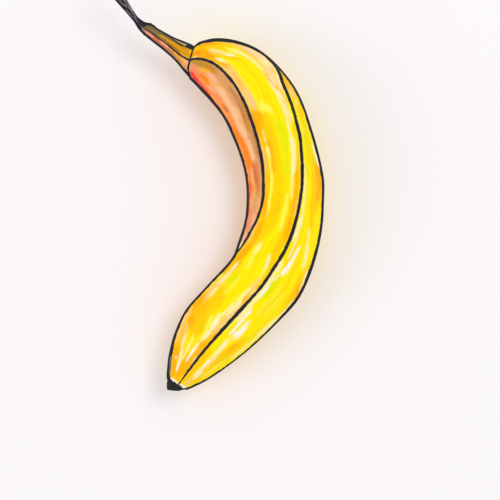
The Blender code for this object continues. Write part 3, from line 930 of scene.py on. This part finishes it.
def prongLength(angle):
    d = skinDetail
    side = math.cos(math.radians(angle))
    prong = d["longProng"] if side > 0.0 else d["shortProng"]
    return prong * side * side + d["prongRagged"] * grainAt(angle, 0.0, d["prongWaves"], 1.0)


class Ring:
    # one row of the skin: its angles, its points in metres and how far out of the centre they lie in mm
    def __init__(self, rib, along):
        self.rib, self.along = rib, along
        self.angles = columnAngles(rib)
        self.points, self.outs = [], []
        pull = max(0.0, 1.0 - (stubAlong - along) / skinDetail["prongReach"])
        for angle in self.angles:
            radius = sectionRadius(angle % 360.0, rib)
            place = skinPoint(rib, angle, radius, reliefAt(angle, along, rib))
            self.points.append(place + stubAxis * prongLength(angle) * pull * pull * mm)
            self.outs.append(-math.cos(math.radians(angle)) * radius * rib.halfWidth)

    def lineEnds(self):
        # the four places that dark lines follow: hollow edge, flank ridge, crown ridge, outer edge
        hollowEdge = self.outs.index(min(self.outs))
        outerEdge = self.outs.index(max(self.outs))
        return [self.points[column] for column in (hollowEdge, flankColumn, crownColumn, outerEdge)]


def measureLeans(rings):
    # how square each dark line runs to its row, 1 where it crosses at a right angle
    span = 4  # rows to either side
    leastLean = 0.35
    for i, ring in enumerate(rings):
        before = rings[max(i - span, 0)].lineEnds()
        after = rings[min(i + span, len(rings) - 1)].lineEnds()
        heading = math.radians(ring.rib.heading)
        ring.leans = []
        for a, b in zip(before, after):
            run = (b - a).to_2d()
            square = abs(run.x * math.sin(heading) - run.y * math.cos(heading)) / max(run.length, 1e-9)
            ring.leans.append(max(square, leastLean))


def makeSkin():
    columns = sum(skinDetail["columns"])
    rings = [Ring(rib, along) for rib, along in zip(rows, alongs)]
    measureLeans(rings)
    paints = [paintSkin(ring) for ring in rings]
    bm = bmesh.new()
    bm.loops.layers.uv.new("peelMap")
    bmesh.ops.create_grid(bm, x_segments=columns, y_segments=len(rows) - 1, size=1.0, calc_uvs=True)
    layers = {name: bm.verts.layers.float.new(name) for name in paints[0]}
    for vert in bm.verts:
        column = round((vert.co.x + 1.0) / 2.0 * columns) % columns
        row = round((vert.co.y + 1.0) / 2.0 * (len(rows) - 1))
        vert.co = rings[row].points[column]
        for name, layer in layers.items():
            vert[layer] = paints[row][name][column]
    bmesh.ops.remove_doubles(bm, verts=bm.verts, dist=skinDetail["weld"] * mm)
    openEnds = [v for v in bm.verts if v.is_boundary]
    closeEnd(bm, [v for v in openEnds if v.co.y > 0.0], skinDetail["tornNotch"])
    closeEnd(bm, [v for v in openEnds if v.co.y < 0.0], skinDetail["blossomScar"])
    return bm


def makeObject(name, bm, material):
    mesh = bpy.data.meshes.new(name)
    bm.to_mesh(mesh)
    bm.free()
    mesh.shade_smooth()
    mesh.materials.append(material)
    made = bpy.data.objects.new(name, mesh)
    bpy.context.scene.collection.objects.link(made)
    return made


def paintValue(colour):
    # a colour, 0 to 255, as the shader wants it
    linear = Color([channel / 255.0 for channel in colour]).from_srgb_to_scene_linear()
    return (*linear, 1.0)


def addNode(tree, kind, inputs=None, **settings):
    made = tree.nodes.new(kind)
    for name, value in settings.items():
        setattr(made, name, value)
    for key, value in (inputs or {}).items():
        if isinstance(value, bpy.types.NodeSocket):
            tree.links.new(value, made.inputs[key])
        else:
            made.inputs[key].default_value = value
    return made


def attributeOf(tree, name):
    return addNode(tree, "ShaderNodeAttribute", attribute_name=name).outputs["Fac"]


def mathOf(tree, operation, a, b):
    return addNode(tree, "ShaderNodeMath", {0: a, 1: b}, operation=operation).outputs[0]


def mixOf(tree, factor, a, b):
    # the mix node keeps its colour sockets at 6 and 7, and its colour result at 2
    return addNode(tree, "ShaderNodeMix", {0: factor, 6: a, 7: b}, data_type="RGBA").outputs[2]


def bandOf(tree, value, low, high, bottom=0.0, top=1.0):
    inputs = {"Value": value, "From Min": low, "From Max": high, "To Min": bottom, "To Max": top}
    return addNode(tree, "ShaderNodeMapRange", inputs, interpolation_type="SMOOTHSTEP").outputs[0]


def noiseOf(tree, vector, scale, detail=2.0):
    inputs = {"Vector": vector, "Scale": scale, "Detail": detail, "Roughness": 0.55}
    return addNode(tree, "ShaderNodeTexNoise", inputs).outputs["Fac"]


def streakOf(tree, vector, waves, detail=4.0):
    # noise drawn out along the fruit, with its waves round it and along it
    drawn = addNode(tree, "ShaderNodeMapping", {"Vector": vector, "Scale": (*waves, 1.0)}).outputs[0]
    return noiseOf(tree, drawn, 1.0, detail)


def raggedOf(tree, name, value, amount):
    # a painted distance whose edge wanders by noise, in mm
    wander = mathOf(tree, "MULTIPLY", mathOf(tree, "SUBTRACT", value, 0.5), amount)
    return mathOf(tree, "ADD", attributeOf(tree, name), wander)


def newMaterial(name):
    material = bpy.data.materials.new(name)
    material.use_nodes = True
    tree = material.node_tree
    return material, tree, tree.nodes["Principled BSDF"]


# Bands are noise values between which one colour gives way to the next, and edges are distances in mm
peelFinish = {
    "roughness": 0.55,
    "dryRoughness": 0.85,
    "specular": 0.06,
    "bump": 0.2,
    "bumpHeight": 0.0002,
    "streaks": ((48.0, 12.0), (66.0, 17.0), (56.0, 21.0)),  # waves round the fruit and along it
    "fineStreak": (150.0, 26.0),
    "fibre": (34.0, 9.0),
    "speck": 620.0,  # waves to the metre
    "wash": 45.0,
    "capSpeck": 420.0,
    "inkSpeck": 260.0,
    "groundBand": (0.42, 0.66),
    "hairBand": (0.54, 0.7, 0.0, 0.18),  # the last two are the least and most cover
    "shadeBand": (0.38, 0.62),
    "ashBand": (0.48, 0.68),
    "tintBand": (0.35, 0.65),
    "charEdge": (-0.6, 0.4),
    "rimHighlightEdge": (-1.5, -1.1),
    "capEdge": (-0.35, 0.0),
    "inkEdge": (-0.16, 0.16),
    "charRagged": 4.0,  # mm that an edge may wander
    "capRagged": 2.6,
    "inkRagged": 1.0,
    "markRagged": 6.0,  # times the raggedness of the pigment
    "drift": 0.45,  # shares of the long streaks, the fine streaks and the specks in that
    "fineDrift": 0.35,
    "speckDrift": 0.2,
    "skirt": 0.7,  # mm that thin paint runs out past a mark and in under it, and how much it covers
    "skirtInside": 0.2,
    "skirtCover": 0.35,
}


def layPigments(tree, colour, kinds, streaks, fineStreak, speck):
    finish = peelFinish
    for k, (name, pigment) in enumerate(kinds.items()):
        drift = mathOf(tree, "MULTIPLY", streaks[k % len(streaks)], finish["drift"])
        for value, share in ((fineStreak, finish["fineDrift"]), (speck, finish["speckDrift"])):
            drift = mathOf(tree, "ADD", drift, mathOf(tree, "MULTIPLY", value, share))
        field = raggedOf(tree, name, drift, finish["markRagged"] * pigment.ragged)
        cover = bandOf(tree, field, -pigment.soft, pigment.soft, 0.0, pigment.cover)
        if kinds is pigments:
            skirt = (-pigment.soft - finish["skirt"], finish["skirtInside"], 0.0, finish["skirtCover"])
            cover = mathOf(tree, "MAXIMUM", cover, bandOf(tree, field, *skirt))
        colour = mixOf(tree, cover, colour, paintValue(pigment.colour))
    return colour


def makePeelMaterial():
    finish = peelFinish
    paint = {name: paintValue(colour) for name, colour in peelColours.items()}
    material, tree, shader = newMaterial("paintedPeel")
    onPeel = addNode(tree, "ShaderNodeUVMap", uv_map="peelMap").outputs[0]
    inSpace = addNode(tree, "ShaderNodeTexCoord").outputs["Object"]
    streaks = [streakOf(tree, onPeel, waves) for waves in finish["streaks"]]
    fineStreak = streakOf(tree, onPeel, finish["fineStreak"], 3.0)
    speck = noiseOf(tree, inSpace, finish["speck"])
    wash = noiseOf(tree, inSpace, finish["wash"])
    # yellow ground, washed unevenly along the fruit, and a tan ground of painted shade on the flank and the
    # hollow underside
    ground = mixOf(tree, bandOf(tree, streaks[0], *finish["groundBand"]), paint["lemon"], paint["butter"])
    ground = mixOf(tree, bandOf(tree, fineStreak, *finish["hairBand"]), ground, paint["hair"])
    shadeBand = bandOf(tree, streaks[1], *finish["shadeBand"])
    shaded = mixOf(tree, shadeBand, paint["shadeTan"], paint["shadePeach"])
    colour = mixOf(tree, attributeOf(tree, "shade"), ground, shaded)
    colour = layPigments(tree, colour, pigments, streaks, fineStreak, speck)
    # charcoal stub with a ragged edge over the collar
    fibre = streakOf(tree, onPeel, finish["fibre"])
    charcoal = mixOf(tree, bandOf(tree, fibre, *finish["ashBand"]), paint["charcoal"], paint["ash"])
    charField = raggedOf(tree, "charred", fineStreak, finish["charRagged"])
    charCover = bandOf(tree, charField, *finish["charEdge"])
    colour = mixOf(tree, charCover, colour, charcoal)
    # dry blossom cap, with a pale ragged painted highlight along the rim above it
    capField = raggedOf(tree, "capped", noiseOf(tree, inSpace, finish["capSpeck"]), finish["capRagged"])
    colour = mixOf(tree, bandOf(tree, capField, *finish["rimHighlightEdge"]), colour, paint["rimHighlight"])
    capCover = bandOf(tree, capField, *finish["capEdge"])
    colour = mixOf(tree, capCover, colour, mixOf(tree, wash, paint["capBlack"], paint["capBrown"]))
    # dark ridge lines, a little uneven in width, tinted navy here and green there
    tint = mixOf(tree, bandOf(tree, wash, *finish["tintBand"]), paint["inkNavy"], paint["inkGreen"])
    inkField = raggedOf(tree, "ink", noiseOf(tree, inSpace, finish["inkSpeck"]), finish["inkRagged"])
    colour = mixOf(tree, bandOf(tree, inkField, *finish["inkEdge"]), colour, tint)
    colour = layPigments(tree, colour, dryPigments, streaks, fineStreak, speck)
    tree.links.new(colour, shader.inputs["Base Color"])
    # satin peel, matt dry ends
    dry = mathOf(tree, "MAXIMUM", charCover, capCover)
    roughness = {"Value": dry, "To Min": finish["roughness"], "To Max": finish["dryRoughness"]}
    tree.links.new(addNode(tree, "ShaderNodeMapRange", roughness).outputs[0], shader.inputs["Roughness"])
    shader.inputs["Specular IOR Level"].default_value = finish["specular"]
    height = {"Strength": finish["bump"], "Distance": finish["bumpHeight"], "Height": fineStreak}
    tree.links.new(addNode(tree, "ShaderNodeBump", height).outputs[0], shader.inputs["Normal"])
    return material


peel = makeObject("plantainPeel", makeSkin(), makePeelMaterial())
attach(peel, "root")
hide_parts("plantain")
print("peel", len(peel.data.polygons), "faces")

# Plain pale floor, soft light from the upper right, and the camera straight above
studio = {
    "frameWidth": 0.308,  # what the picture's side spans at the height of the fruit's outline
    "outlineHeight": 0.026,
    "cameraHeight": 1.5,
    "aim": (0.0214, -0.0371),
    "floorColour": (245, 243, 245),
    "floorRoughness": 0.9,
    "floorSpecular": 0.1,
    "floorSize": 6.0,
    "skyColour": (1.0, 0.985, 0.99, 1.0),
    "skyStrength": 0.82,
    "lamps": {  # place, size and power
        "key": ((1.3, 0.8, 3.0), 1.6, 24.0),
        "fill": ((-2.2, -0.6, 1.4), 1.4, 10.0),
    },
}


def makeFloor():
    material, tree, shader = newMaterial("paleFloor")
    shader.inputs["Base Color"].default_value = paintValue(studio["floorColour"])
    shader.inputs["Roughness"].default_value = studio["floorRoughness"]
    shader.inputs["Specular IOR Level"].default_value = studio["floorSpecular"]
    bm = bmesh.new()
    bmesh.ops.create_grid(bm, x_segments=1, y_segments=1, size=studio["floorSize"] / 2.0)
    makeObject("floor", bm, material)


def makeLight():
    world = bpy.data.worlds.new("paleSky")
    world.use_nodes = True
    background = world.node_tree.nodes["Background"]
    background.inputs["Color"].default_value = studio["skyColour"]
    background.inputs["Strength"].default_value = studio["skyStrength"]
    bpy.context.scene.world = world
    for name, (place, size, power) in studio["lamps"].items():
        light = bpy.data.lights.new(name, "AREA")
        light.shape = "DISK"
        light.size = size
        light.energy = power
        lamp = bpy.data.objects.new(name, light)
        lamp.location = place
        lamp.rotation_euler = (-Vector(place)).to_track_quat("-Z", "Y").to_euler()
        bpy.context.scene.collection.objects.link(lamp)


def makeCamera():
    data = bpy.data.cameras.new("above")
    distance = studio["cameraHeight"] - studio["outlineHeight"]
    data.lens = data.sensor_width * distance / studio["frameWidth"]
    data.clip_start = 0.1
    camera = bpy.data.objects.new("above", data)
    camera.location = (*studio["aim"], studio["cameraHeight"])
    bpy.context.scene.collection.objects.link(camera)
    bpy.context.scene.camera = camera
    bpy.context.scene.view_settings.view_transform = "Standard"


makeFloor()
makeLight()
makeCamera()
print("studio ready")
